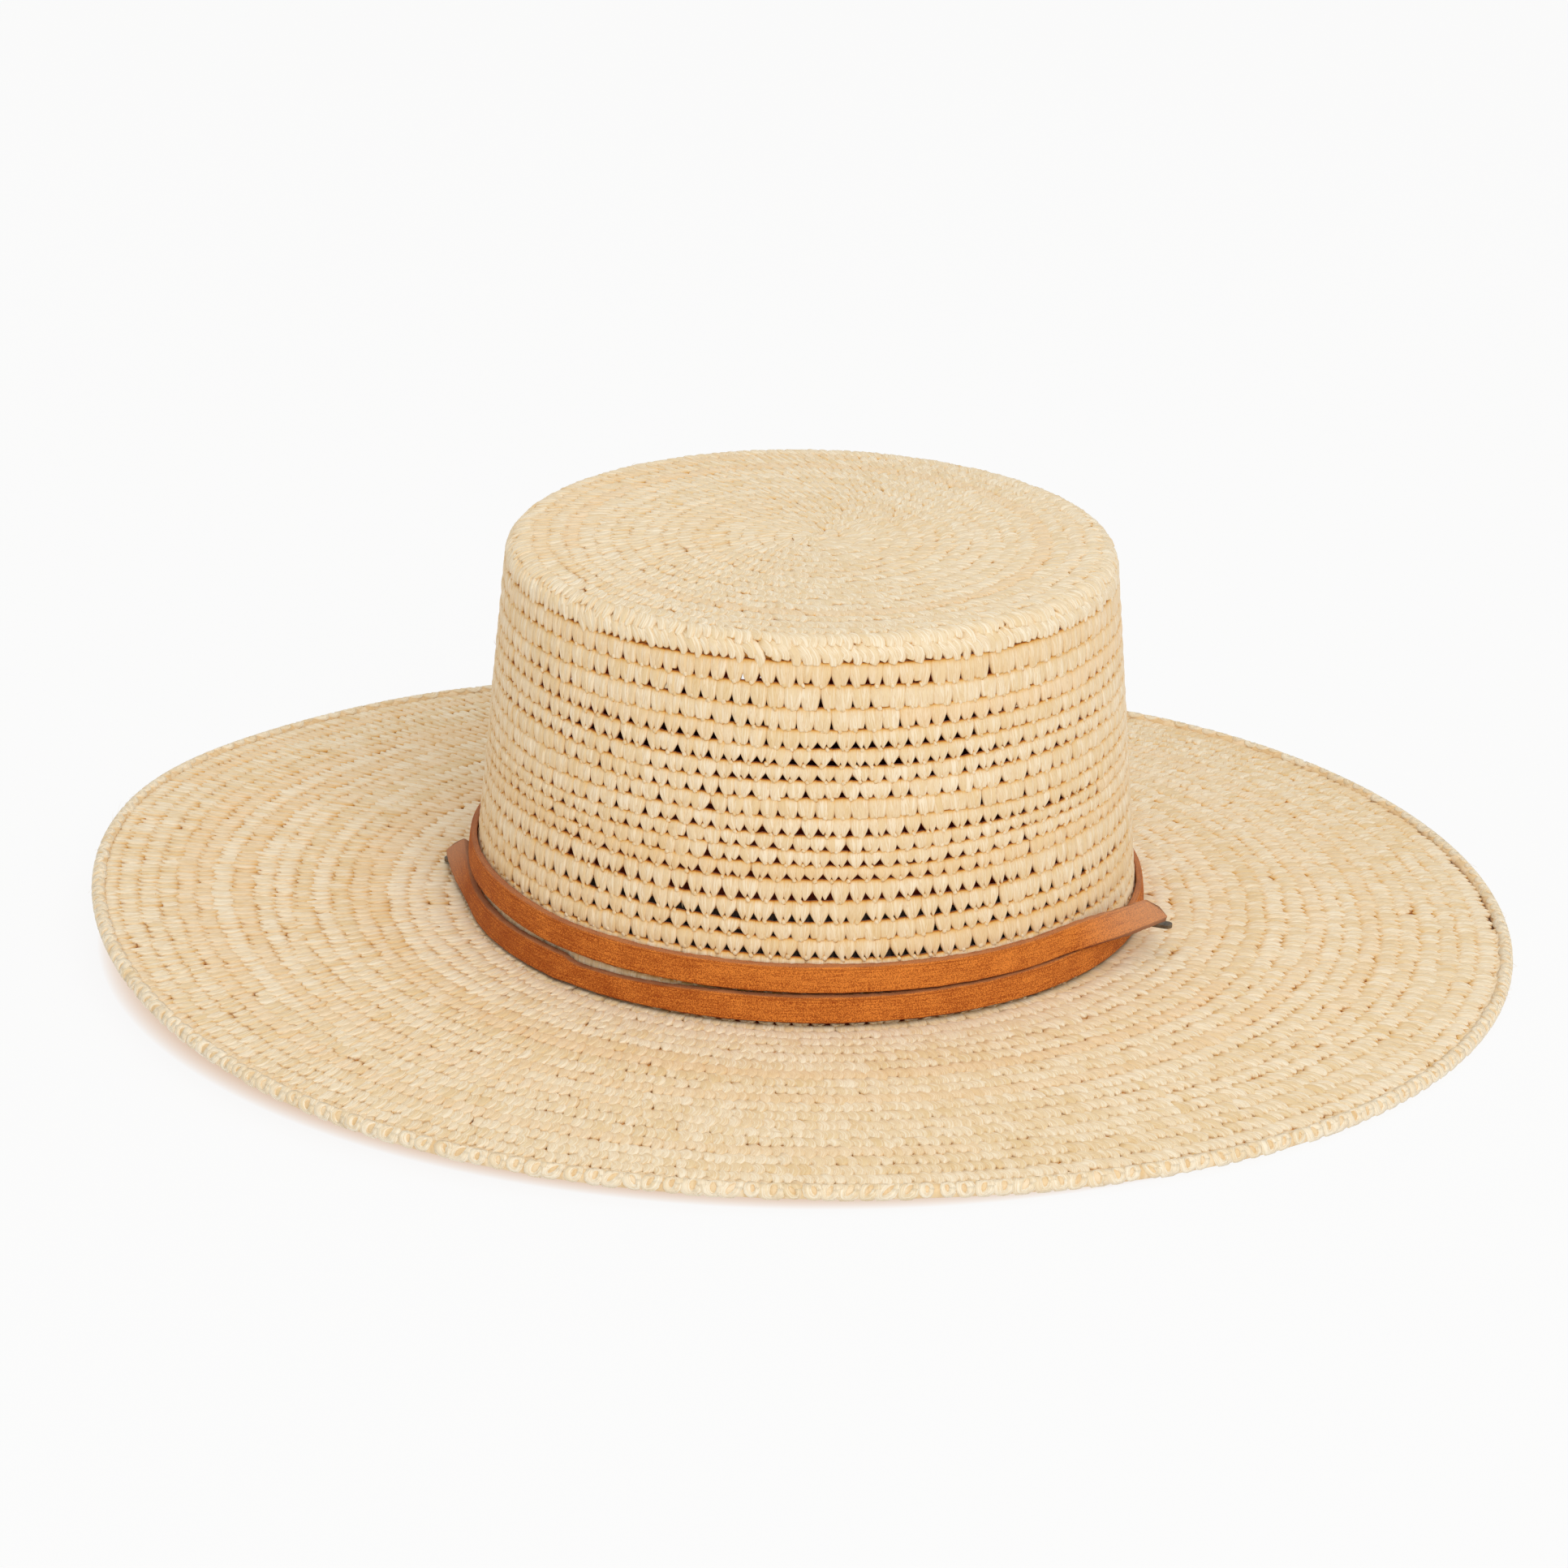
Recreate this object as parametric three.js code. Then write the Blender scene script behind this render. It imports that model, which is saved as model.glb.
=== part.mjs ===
// Crocheted straw hat with a flat tip, a wide wavy brim and a leather strap wound one and a
// half turns round the foot of the crown. Millimetres, +Z up. The crown's axis is the Z axis,
// the hat stands on the edge of its brim at Z = 0, and its front faces -Y.

import * as THREE from 'three';

// ---- driving dimensions ---------------------------------------------------------------

const STRAW = 2.4; // thickness of the crocheted straw
const GAP = 0.3; // air between pieces that touch on the real hat
const SIDES = 72; // facets round the hat
const TURN_STEPS_INSIDE = 4; // facets over the tip's rounded edge
const TURN_STEPS_OUTSIDE = 5;
const BRIM_STEPS = 6; // facets along the brim, from its root to its edge
const EDGE_STEPS_OUTSIDE = 9; // facets round the edge's section
const EDGE_STEPS_BORE = 7;

// Crown: a wall that narrows upward, and a flat tip that turns over a rounded edge.
const TIP_TOP = 115.3;
const TURN_RADIUS = 5.6;
const WALL_FOOT_RADIUS = 93.9;
const WALL_HEAD_RADIUS = 84.8;
const WALL_HEAD = TIP_TOP - TURN_RADIUS;

// Brim: 400 mm across, level where it leaves the crown, wavy at its edge.
const BRIM_ROOT = 8.8; // height of the middle of the straw beside the crown
const BRIM_ROOT_TOP = BRIM_ROOT + STRAW / 2;
const BRIM_RADIUS = 200;
const BRIM_DROOP = 1.5; // how late the brim leaves its level root for the height of its edge
const EDGE_RADIUS = 2.2; // the last round, worked over the wire
const EDGE_BORE = 1.4;
const EDGE_SLOT_ANGLE = 225; // the slot that opens the bore, from outward, anticlockwise
const EDGE_SLOT_HALF = 14;

// The edge's height and reach by angle round the hat: each lobe is a smooth bump.
const HEIGHT_LOBES = [
  { angle: 174, spread: 49, size: 14.9 }, // the wearer's right side curls up
  { angle: 243, spread: 51, size: 2.9 },
  { angle: 145, spread: 19, size: -2.7 },
];
const REACH_LOBES = [
  { angle: 278, spread: 39, size: -14.1 }, // the front of the brim is the narrowest
  { angle: 90, spread: 30, size: -13.6 },
];

// Wire in the edge, its ends in one sleeve at the back.
const WIRE_RADIUS = 0.5;
const WIRE_END_GAP = 1;
const WIRE_STEPS = 90;
const WIRE_CURVE_STEPS = 3;
const SLEEVE_BORE = 0.8;
const SLEEVE_RADIUS = 1.1;
const SLEEVE_LENGTH = 14;
const SLEEVE_STEPS = 4;
const BACK = 90;

// Sweatband inside the crown's foot, with a tape over its join at the back.
const BAND_THICK = 1;
const BAND_BOTTOM = 12;
const BAND_TOP = 40;
const TAPE_THICK = 0.8;
const TAPE_WIDTH = 14;
const TAPE_MARGIN = 2;

// Leather strap: a flat strip with its two ends standing off the crown.
const STRAP_WIDTH = 7.6;
const STRAP_THICK = 1.6;
const STRAP_CORNER = 0.35;
const STRAP_GAP = 0.6;
const STRAP_START = 171.5; // angle of the lower lap's end, at the left
const STRAP_END = 698.5; // angle of the upper lap's end, one and a half turns on, at the right
const STRAP_STEPS = 132;
const STRAP_LEAN = 42; // degrees that each free end leans back
const STRAP_LEAN_REACH = 22; // degrees of turn over which the lean grows
const START_LEAVES = 187; // where each end leaves the wall and runs straight
const END_LEAVES = 676;
const STRAP_HEIGHTS = [
  [171.5, 15.3],
  [200, 14.2],
  [270, 14.7],
  [360, 14.2],
  [450, 18.3],
  [540, 24.5],
  [565, 24.4],
  [590, 23.4],
  [630, 23.1],
  [680, 22.3],
  [698.5, 22.2],
];

// Flat metal pins under the strap's two ends. The left one stands out of the wall, the right
// one rests on the lower lap.
const PIN_WIDTH = 3.2;
const PIN_THICK = 1;
const PINS = [
  { name: 'strap_pin_left', angle: 172, from: 94.6, to: 104, height: 10.7 },
  { name: 'strap_pin_right', angle: 338.7, from: 98.5, to: 108.6, height: 17 },
];

// ---- materials ------------------------------------------------------------------------

const paint = (color, roughness, metalness) =>
  new THREE.MeshStandardMaterial({ color, roughness, metalness });
const straw = () => paint(0xe4cfa4, 0.62, 0);
const leather = () => paint(0xb4682f, 0.72, 0);
const steel = () => paint(0x77726a, 0.42, 0.9);
const ribbon = () => paint(0x3a2417, 0.85, 0);

// ---- helpers --------------------------------------------------------------------------

const radians = THREE.MathUtils.degToRad;

// Signed difference between two angles in degrees, between -180 and 180.
const turnBetween = (from, to) => THREE.MathUtils.euclideanModulo(to - from + 180, 360) - 180;

const lobeSum = (lobes, degrees) =>
  lobes.reduce((sum, lobe) => {
    const distance = turnBetween(lobe.angle, degrees) / lobe.spread;
    return sum + lobe.size * Math.exp(-distance * distance);
  }, 0);

const edgeReach = (degrees) => BRIM_RADIUS + lobeSum(REACH_LOBES, degrees);
const edgeHeight = (degrees) => EDGE_RADIUS + lobeSum(HEIGHT_LOBES, degrees);
const degreesOf = (x, y) => THREE.MathUtils.radToDeg(Math.atan2(y, x));

const wallRadius = (height) =>
  THREE.MathUtils.mapLinear(height, BRIM_ROOT_TOP, WALL_HEAD, WALL_FOOT_RADIUS, WALL_HEAD_RADIUS);
const wallInside = (height) => wallRadius(height) - STRAW;

// A ring or disc turned about Z from a profile of [radius, height] points.
function turned(profile) {
  const points = profile.map(([radius, height]) => new THREE.Vector2(radius, height));
  return new THREE.LatheGeometry(points, SIDES).rotateX(Math.PI / 2);
}

// Points of an arc, in degrees, both ends included.
function arc(centre, radius, from, to, steps) {
  return Array.from({ length: steps + 1 }, (_, i) => {
    const angle = radians(from + ((to - from) * i) / steps);
    return [centre[0] + radius * Math.cos(angle), centre[1] + radius * Math.sin(angle)];
  });
}

const closedProfile = (points) => [...points, points[0]];

// Moves every vertex of a turned shape by a rule on its angle, radius and height.
function reshaped(geometry, rule) {
  const position = geometry.attributes.position;
  for (let i = 0; i < position.count; i += 1) {
    const x = position.getX(i);
    const y = position.getY(i);
    const angle = Math.atan2(y, x);
    const [radius, height] = rule(degreesOf(x, y), Math.hypot(x, y), position.getZ(i));
    position.setXYZ(i, radius * Math.cos(angle), radius * Math.sin(angle), height);
  }
  geometry.computeVertexNormals();
  return geometry;
}

// A line that runs round the hat, with a section held upright or leaning by its own rule.
class RoundTheHat extends THREE.Curve {
  constructor(from, to, placeAt, leanAt = () => 0) {
    super();
    Object.assign(this, { from, to, placeAt, leanAt });
  }

  getPoint(t, target = new THREE.Vector3()) {
    const degrees = THREE.MathUtils.lerp(this.from, this.to, t);
    const { radius, height } = this.placeAt(degrees);
    const angle = radians(degrees);
    return target.set(radius * Math.cos(angle), radius * Math.sin(angle), height);
  }

  computeFrenetFrames(segments) {
    const frames = { tangents: [], normals: [], binormals: [] };
    for (let i = 0; i <= segments; i += 1) {
      const t = this.getUtoTmapping(i / segments);
      const tangent = this.getTangent(t);
      const flat = new THREE.Vector3(tangent.y, -tangent.x, 0).normalize();
      const lean = radians(this.leanAt(THREE.MathUtils.lerp(this.from, this.to, t)));
      const outward = flat.applyAxisAngle(tangent, lean);
      frames.tangents.push(tangent);
      frames.normals.push(outward);
      frames.binormals.push(new THREE.Vector3().crossVectors(tangent, outward));
    }
    return frames;
  }
}

const swept = (shape, path, steps, curveSegments = 6) =>
  new THREE.ExtrudeGeometry(shape, { steps, curveSegments, extrudePath: path });

const discShape = (radius) => new THREE.Shape().absarc(0, 0, radius, 0, 2 * Math.PI);

// A rectangle about the origin with its corners cut off.
function stripShape(width, height, corner) {
  const x = width / 2;
  const y = height / 2;
  return new THREE.Shape([
    new THREE.Vector2(-x + corner, -y),
    new THREE.Vector2(x - corner, -y),
    new THREE.Vector2(x, -y + corner),
    new THREE.Vector2(x, y - corner),
    new THREE.Vector2(x - corner, y),
    new THREE.Vector2(-x + corner, y),
    new THREE.Vector2(-x, y - corner),
    new THREE.Vector2(-x, -y + corner),
  ]);
}

const hat = new THREE.Group();

function addPiece(name, geometry, material) {
  const piece = new THREE.Mesh(geometry, material);
  piece.name = name;
  hat.add(piece);
  return piece;
}

// ---- crown ----------------------------------------------------------------------------

function tipGeometry() {
  const flatRadius = WALL_HEAD_RADIUS - TURN_RADIUS;
  const turnCentre = [flatRadius, WALL_HEAD];
  return turned([
    [0, TIP_TOP - STRAW],
    ...arc(turnCentre, TURN_RADIUS - STRAW, 90, 0, TURN_STEPS_INSIDE),
    ...arc(turnCentre, TURN_RADIUS, 0, 90, TURN_STEPS_OUTSIDE),
    [0, TIP_TOP],
  ]);
}

function wallGeometry() {
  const foot = BRIM_ROOT_TOP + GAP;
  const head = WALL_HEAD - GAP;
  return turned(closedProfile([
    [wallInside(foot), foot],
    [wallRadius(foot), foot],
    [wallRadius(head), head],
    [wallInside(head), head],
  ]));
}

addPiece('crown_tip', tipGeometry(), straw());
addPiece('crown_wall', wallGeometry(), straw());

// ---- brim -----------------------------------------------------------------------------

const ROOT_RADIUS = wallInside(BRIM_ROOT_TOP + GAP);
const BODY_END = 2 * EDGE_RADIUS + GAP; // how far short of the edge the brim's body stops

// The body is drawn flat, with its radius standing for how far out along the brim a point lies.
function brimGeometry() {
  const lines = Array.from({ length: BRIM_STEPS + 1 }, (_, i) => 1 + i / BRIM_STEPS);
  const underside = lines.map((along) => [along, -STRAW / 2]);
  const topside = lines.map((along) => [along, STRAW / 2]).reverse();
  const flat = turned(closedProfile([...underside, ...topside]));
  return reshaped(flat, (degrees, along, height) => {
    const share = THREE.MathUtils.clamp(along - 1, 0, 1);
    const radius = THREE.MathUtils.lerp(ROOT_RADIUS, edgeReach(degrees) - BODY_END, share);
    const drop = share ** BRIM_DROOP;
    return [radius, THREE.MathUtils.lerp(BRIM_ROOT, edgeHeight(degrees), drop) + height];
  });
}

// The last round is a C in section: a bore for the wire, with a slot along its underside.
function edgeGeometry() {
  const centre = [BRIM_RADIUS - EDGE_RADIUS, 0];
  const first = EDGE_SLOT_ANGLE + EDGE_SLOT_HALF;
  const last = EDGE_SLOT_ANGLE - EDGE_SLOT_HALF + 360;
  const flat = turned(closedProfile([
    ...arc(centre, EDGE_RADIUS, first, last, EDGE_STEPS_OUTSIDE),
    ...arc(centre, EDGE_BORE, last, first, EDGE_STEPS_BORE),
  ]));
  return reshaped(flat, (degrees, radius, height) => [
    radius - BRIM_RADIUS + edgeReach(degrees),
    edgeHeight(degrees) + height,
  ]);
}

const boreCentre = (degrees) => ({
  radius: edgeReach(degrees) - EDGE_RADIUS,
  height: edgeHeight(degrees),
});

const turnOf = (length, degrees) =>
  THREE.MathUtils.radToDeg(length / boreCentre(degrees).radius);

function wireGeometry() {
  const half = turnOf(WIRE_END_GAP, BACK) / 2;
  const line = new RoundTheHat(BACK + half, BACK + 360 - half, boreCentre);
  return swept(discShape(WIRE_RADIUS), line, WIRE_STEPS, WIRE_CURVE_STEPS);
}

function sleeveGeometry() {
  const half = turnOf(SLEEVE_LENGTH, BACK) / 2;
  const ring = discShape(SLEEVE_RADIUS);
  ring.holes.push(new THREE.Path().absarc(0, 0, SLEEVE_BORE, 0, 2 * Math.PI, true));
  return swept(ring, new RoundTheHat(BACK - half, BACK + half, boreCentre), SLEEVE_STEPS);
}

addPiece('brim', brimGeometry(), straw());
addPiece('brim_edge_round', edgeGeometry(), straw());
addPiece('brim_wire', wireGeometry(), steel());
addPiece('wire_sleeve', sleeveGeometry(), steel());

// ---- sweatband ------------------------------------------------------------------------

function sweatbandGeometry() {
  const outside = (height) => wallInside(height) - GAP;
  return turned(closedProfile([
    [outside(BAND_BOTTOM) - BAND_THICK, BAND_BOTTOM],
    [outside(BAND_BOTTOM), BAND_BOTTOM],
    [outside(BAND_TOP), BAND_TOP],
    [outside(BAND_TOP) - BAND_THICK, BAND_TOP],
  ]));
}

function joinTape() {
  const middle = (BAND_BOTTOM + BAND_TOP) / 2;
  const height = BAND_TOP - BAND_BOTTOM - 2 * TAPE_MARGIN;
  const tape = new THREE.Mesh(new THREE.BoxGeometry(TAPE_WIDTH, TAPE_THICK, height), ribbon());
  const lean = Math.atan2(WALL_FOOT_RADIUS - WALL_HEAD_RADIUS, WALL_HEAD - BRIM_ROOT_TOP);
  const facetInset = wallInside(middle) * (1 - Math.cos(radians(360 / SIDES)));
  const insetFromWall = GAP + BAND_THICK + facetInset + GAP + TAPE_THICK / 2;
  tape.name = 'sweatband_join_tape';
  tape.position.set(0, wallInside(middle) - insetFromWall, middle);
  tape.rotation.x = lean;
  return tape;
}

addPiece('sweatband', sweatbandGeometry(), ribbon());
hat.add(joinTape());

// ---- leather strap --------------------------------------------------------------------

// Eases between the listed heights, so the strap has no kinks.
function strapHeight(degrees) {
  const next = Math.max(1, STRAP_HEIGHTS.findIndex(([angle]) => angle >= degrees - 1e-6));
  const [[angleA, heightA], [angleB, heightB]] = STRAP_HEIGHTS.slice(next - 1, next + 1);
  const share = THREE.MathUtils.smoothstep(degrees, angleA, angleB);
  return THREE.MathUtils.lerp(heightA, heightB, share);
}

function strapLean(degrees) {
  const toNearestEnd = Math.min(degrees - STRAP_START, STRAP_END - degrees);
  return STRAP_LEAN * (1 - THREE.MathUtils.smoothstep(toNearestEnd, 0, STRAP_LEAN_REACH));
}

// Past the point where it leaves the wall, an end runs straight on along the tangent.
function strapStandOff(degrees) {
  const past = Math.max(START_LEAVES - degrees, degrees - END_LEAVES, 0);
  return WALL_FOOT_RADIUS * (1 / Math.cos(radians(past)) - 1);
}

function strapPlace(degrees) {
  const height = strapHeight(degrees);
  const lean = radians(strapLean(degrees));
  const clearance = (STRAP_WIDTH * Math.sin(lean) + STRAP_THICK * Math.cos(lean)) / 2;
  const radius = wallRadius(height) + STRAP_GAP + clearance + strapStandOff(degrees);
  return { radius, height };
}

function wallSlopeDegrees() {
  const narrowing = (WALL_FOOT_RADIUS - WALL_HEAD_RADIUS) / (WALL_HEAD - BRIM_ROOT_TOP);
  return THREE.MathUtils.radToDeg(Math.atan(narrowing));
}

const strapPath = new RoundTheHat(STRAP_START, STRAP_END, strapPlace, (degrees) =>
  -wallSlopeDegrees() - strapLean(degrees));
const strapSection = stripShape(STRAP_THICK, STRAP_WIDTH, STRAP_CORNER);
addPiece('leather_strap', swept(strapSection, strapPath, STRAP_STEPS), leather());

// A pin is a flat tongue with a rounded tip that points straight out from the crown's axis.
function pinShape(length) {
  const half = PIN_WIDTH / 2;
  const shape = new THREE.Shape();
  shape.moveTo(0, -half);
  shape.lineTo(length - half, -half);
  shape.absarc(length - half, 0, half, -Math.PI / 2, Math.PI / 2);
  shape.lineTo(0, half);
  shape.closePath();
  return shape;
}

for (const { name, angle, from, to, height } of PINS) {
  const plate = new THREE.ExtrudeGeometry(pinShape(to - from), {
    depth: PIN_THICK,
    bevelEnabled: false,
    curveSegments: 6,
  });
  const pin = addPiece(name, plate, steel());
  pin.position.set(from * Math.cos(radians(angle)), from * Math.sin(radians(angle)), height);
  pin.rotation.z = radians(angle);
}

export default hat;
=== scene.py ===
import math

import bpy
import numpy as np
from mathutils import Matrix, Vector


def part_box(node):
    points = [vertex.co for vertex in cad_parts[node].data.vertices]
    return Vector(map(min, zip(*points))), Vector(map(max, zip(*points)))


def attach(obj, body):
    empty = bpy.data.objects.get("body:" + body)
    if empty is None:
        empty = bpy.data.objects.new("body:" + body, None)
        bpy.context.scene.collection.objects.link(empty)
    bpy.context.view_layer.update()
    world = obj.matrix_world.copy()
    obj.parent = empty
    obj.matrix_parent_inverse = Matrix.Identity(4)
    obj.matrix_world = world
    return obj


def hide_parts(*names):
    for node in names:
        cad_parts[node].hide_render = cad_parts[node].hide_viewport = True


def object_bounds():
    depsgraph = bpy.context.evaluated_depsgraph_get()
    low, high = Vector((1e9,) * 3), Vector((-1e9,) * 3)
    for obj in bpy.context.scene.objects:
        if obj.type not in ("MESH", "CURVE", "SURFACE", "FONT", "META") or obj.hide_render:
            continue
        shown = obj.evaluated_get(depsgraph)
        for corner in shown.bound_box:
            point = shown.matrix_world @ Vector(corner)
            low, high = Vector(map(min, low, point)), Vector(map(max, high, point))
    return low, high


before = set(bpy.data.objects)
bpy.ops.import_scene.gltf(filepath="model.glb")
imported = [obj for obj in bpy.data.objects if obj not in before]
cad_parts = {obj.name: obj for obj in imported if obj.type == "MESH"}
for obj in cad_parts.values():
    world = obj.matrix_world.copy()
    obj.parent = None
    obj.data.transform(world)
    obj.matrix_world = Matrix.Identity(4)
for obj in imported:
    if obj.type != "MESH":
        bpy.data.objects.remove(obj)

# The looks of a straw hat crocheted in one spiral of raffia from the middle of its tip to the
# edge of its brim, with a leather strap wound one and a half turns round the foot of the crown.
# Metres, in the CAD frame: the crown's axis is Z and the front of the hat faces -Y.

MM = 0.001
TURN = 2 * math.pi
cad_low, cad_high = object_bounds()
rng = np.random.default_rng(41)

# ---- the straw's surface, read from the CAD nodes ----

STRAW = 2.4 * MM  # thickness of the straw
HALF_STRAW = STRAW / 2
NODE_GAP = 0.3 * MM  # air between the straw's CAD nodes
EDGE_BODY_GAP = 3.9 * MM  # from the very edge of the brim in to the end of its last round
WIDEST_REACH = 200 * MM  # how far out the brim's edge is where the brim is widest
BRIM_DROOP = 1.5  # power with which the brim leaves its level toward the edge
FOOT_CORNER = 1.5 * MM  # radius of the corner where the crown turns out into the brim

tip_low, tip_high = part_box("crown_tip")
wall_low, wall_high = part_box("crown_wall")
TIP_TOP = tip_high.z
WALL_HEAD = tip_low.z
HEAD_RADIUS = tip_high.x
FOOT_RADIUS = wall_high.x
FOOT = wall_low.z
TIP_TURN = TIP_TOP - WALL_HEAD
BRIM_LEVEL = FOOT - NODE_GAP - HALF_STRAW
BRIM_ROOT_RADIUS = FOOT_RADIUS - STRAW
EDGE_STEP = 5  # degrees between the CAD edge's rings of corners


def round_axis(angle, radius, height):
    """Points at an angle and a radius round the crown's axis."""
    return np.stack([radius * np.cos(angle), radius * np.sin(angle), height], axis=-1)


def edge_ring():
    """How far out and how high the middle of the brim's edge lies, by angle."""
    corners = np.array([v.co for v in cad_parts["brim_edge_round"].data.vertices])
    angles = np.degrees(np.arctan2(corners[:, 1], corners[:, 0])) % 360
    stations = np.arange(0, 360, EDGE_STEP)
    reach, height = [], []
    for station in stations:
        near = np.abs((angles - station + 180) % 360 - 180) < 1
        ring = corners[near]
        reach.append(np.hypot(ring[:, 0], ring[:, 1]).max())
        height.append((ring[:, 2].min() + ring[:, 2].max()) / 2)
    return np.radians(stations), np.array(reach), np.array(height)


EDGE_ANGLES, EDGE_REACH, EDGE_HEIGHT = edge_ring()


def edge_at(angle):
    """The reach and height of the brim's edge at an angle."""
    reach = np.interp(angle, EDGE_ANGLES, EDGE_REACH, period=TURN)
    return reach, np.interp(angle, EDGE_ANGLES, EDGE_HEIGHT, period=TURN)


def crown_line():
    """Points down the middle of the straw, from the middle of the tip to the brim's root."""
    flat = HEAD_RADIUS - TIP_TURN
    points = [(0.0, TIP_TOP - HALF_STRAW), (flat, TIP_TOP - HALF_STRAW)]
    bend = TIP_TURN - HALF_STRAW
    for share in np.linspace(0, 1, 9)[1:]:
        lean = share * math.pi / 2
        points.append((flat + bend * math.sin(lean), WALL_HEAD + bend * math.cos(lean)))
    corner_top = BRIM_LEVEL + FOOT_CORNER
    foot_middle = FOOT_RADIUS - HALF_STRAW
    points.append((foot_middle, corner_top))
    for share in np.linspace(0, 1, 5)[1:]:
        lean = share * math.pi / 2
        out = FOOT_CORNER * (1 - math.cos(lean))
        points.append((foot_middle + out, corner_top - FOOT_CORNER * math.sin(lean)))
    line = np.array(points)
    steps = np.hypot(*np.diff(line, axis=0).T)
    return np.concatenate([[0], np.cumsum(steps)]), line[:, 0], line[:, 1]


LINE_DEPTH, LINE_RADIUS, LINE_HEIGHT = crown_line()
ROOT_DEPTH = LINE_DEPTH[-1]
BRIM_SPAN = WIDEST_REACH - EDGE_BODY_GAP - LINE_RADIUS[-1]


def straw_line(angle, depth):
    """Radius and height of the middle of the straw, at a depth down from the tip's middle."""
    radius = np.interp(depth, LINE_DEPTH, LINE_RADIUS)
    height = np.interp(depth, LINE_DEPTH, LINE_HEIGHT)
    reach, rise = edge_at(angle)
    end = reach - EDGE_BODY_GAP
    brim_radius = LINE_RADIUS[-1] + (end - LINE_RADIUS[-1]) * (depth - ROOT_DEPTH) / BRIM_SPAN
    share = np.clip((brim_radius - BRIM_ROOT_RADIUS) / (end - BRIM_ROOT_RADIUS), 0, None)
    brim_height = BRIM_LEVEL + (rise - BRIM_LEVEL) * share**BRIM_DROOP
    on_brim = depth > ROOT_DEPTH
    return np.where(on_brim, brim_radius, radius), np.where(on_brim, brim_height, height)


SLOPE_REACH = 1.2 * MM  # the straw's slope is taken over this much to each side


def on_straw(angle, depth, out):
    """Points that stand out from the middle of the straw, upward on the brim and the tip."""
    radius, height = straw_line(angle, depth)
    radius_before, height_before = straw_line(angle, np.maximum(depth - SLOPE_REACH, 0))
    radius_after, height_after = straw_line(angle, depth + SLOPE_REACH)
    run, rise = radius_after - radius_before, height_after - height_before
    length = np.hypot(run, rise)
    radius = radius - out * rise / length
    height = height + out * run / length
    return round_axis(angle, radius, height)


# ---- the spiral of rounds ----

TIP_ROUNDS = 19
BRIM_ROUNDS = 19
WALL_ROUND_DEPTHS = [  # in mm, from the crown's head down to its foot
    4.3, 6.4, 5.7, 5.5, 5.0, 5.0, 4.3, 5.0, 5.0, 4.8, 3.6,
    4.3, 4.1, 6.4, 5.7, 4.3, 5.9, 4.7, 4.5, 4.6, 4.4,
]


def round_starts():
    """The depth at which each round of the spiral starts."""
    walls = np.array(WALL_ROUND_DEPTHS) * MM
    first_wall = ROOT_DEPTH - walls.sum()
    tips = np.full(TIP_ROUNDS, first_wall / TIP_ROUNDS)
    brims = np.full(BRIM_ROUNDS, BRIM_SPAN / BRIM_ROUNDS)
    return np.concatenate([[0], np.cumsum(np.concatenate([tips, walls, brims]))])


ROUND_STARTS = round_starts()
WALL_TURN = TIP_ROUNDS
BRIM_TURN = TIP_ROUNDS + len(WALL_ROUND_DEPTHS)
LAST_TURN = BRIM_TURN + BRIM_ROUNDS
EDGE_GIVE = 0.12  # how much is left of what a strand reaches past the brim's last round
TIP_STITCH = 4.7 * MM  # width of a stitch along its round
BRIM_STITCH = 5.6 * MM
WALL_STITCHES = 118  # in one round
STITCH_JITTER = 0.07
STITCH_LIMIT = 0.12


def depth_at(turns):
    """How deep the spiral is after so many turns."""
    steps = np.arange(len(ROUND_STARTS))
    past = np.maximum(turns - steps[-1], 0) * (ROUND_STARTS[-1] - ROUND_STARTS[-2])
    return np.interp(turns, steps, ROUND_STARTS) + past


def within_edge(depth):
    """Holds the last round back, so that it ends under the loops of the edge."""
    past = np.maximum(depth - ROUND_STARTS[-1], 0)
    return depth - (1 - EDGE_GIVE) * past


WANDER = 0.28 * MM


def unevenness(turns):
    """The slow wander of a hand-worked round, which its neighbours partly share."""
    angle = turns * TURN
    wave = np.sin(3 * angle + 0.8 * turns) + 0.7 * np.sin(7 * angle - 1.1 * turns)
    settled = np.clip(turns / TIP_ROUNDS, 0, 1) * np.clip((LAST_TURN - turns) / 3, 0, 1)
    return WANDER * wave * settled


def round_radius(turns):
    """How far out the middle of a round lies, at a place on the spiral."""
    return straw_line(turns * TURN, depth_at(turns + 0.5))[0]


def lay_stitches():
    """The place on the spiral of every stitch, as turns from the middle of the tip."""
    turns, here = [], 0.0
    while here < LAST_TURN:
        turns.append(here)
        radius = float(round_radius(here))
        if here < WALL_TURN:
            width = TIP_STITCH
        elif here < BRIM_TURN:
            width = radius * TURN / WALL_STITCHES
        else:
            width = BRIM_STITCH
        even = min(max(rng.normal(1, STITCH_JITTER), 1 - STITCH_LIMIT), 1 + STITCH_LIMIT)
        here += width * even / (TURN * max(radius, 2 * MM))
    return np.array(turns)


TURNS = lay_stitches()
COUNT = len(TURNS)


def strand_tones():
    """The straw runs in lengths, and each length has its own lightness and warmth."""
    light, warm = np.zeros(COUNT), np.zeros(COUNT)
    start = 0
    while start < COUNT:
        end = start + int(rng.integers(14, 70))
        light[start:end] = rng.normal(0, 0.6)
        warm[start:end] = rng.random() ** 4
        start = end
    return light, warm


LIGHT, WARM = strand_tones()


def openness():
    """How open each stitch is worked: it wanders slowly along the spiral."""
    loose = np.convolve(rng.normal(0, 1, COUNT + 40), np.ones(9) / 3, mode="same")[:COUNT]
    return np.clip(loose, -1.6, 1.6)


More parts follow.
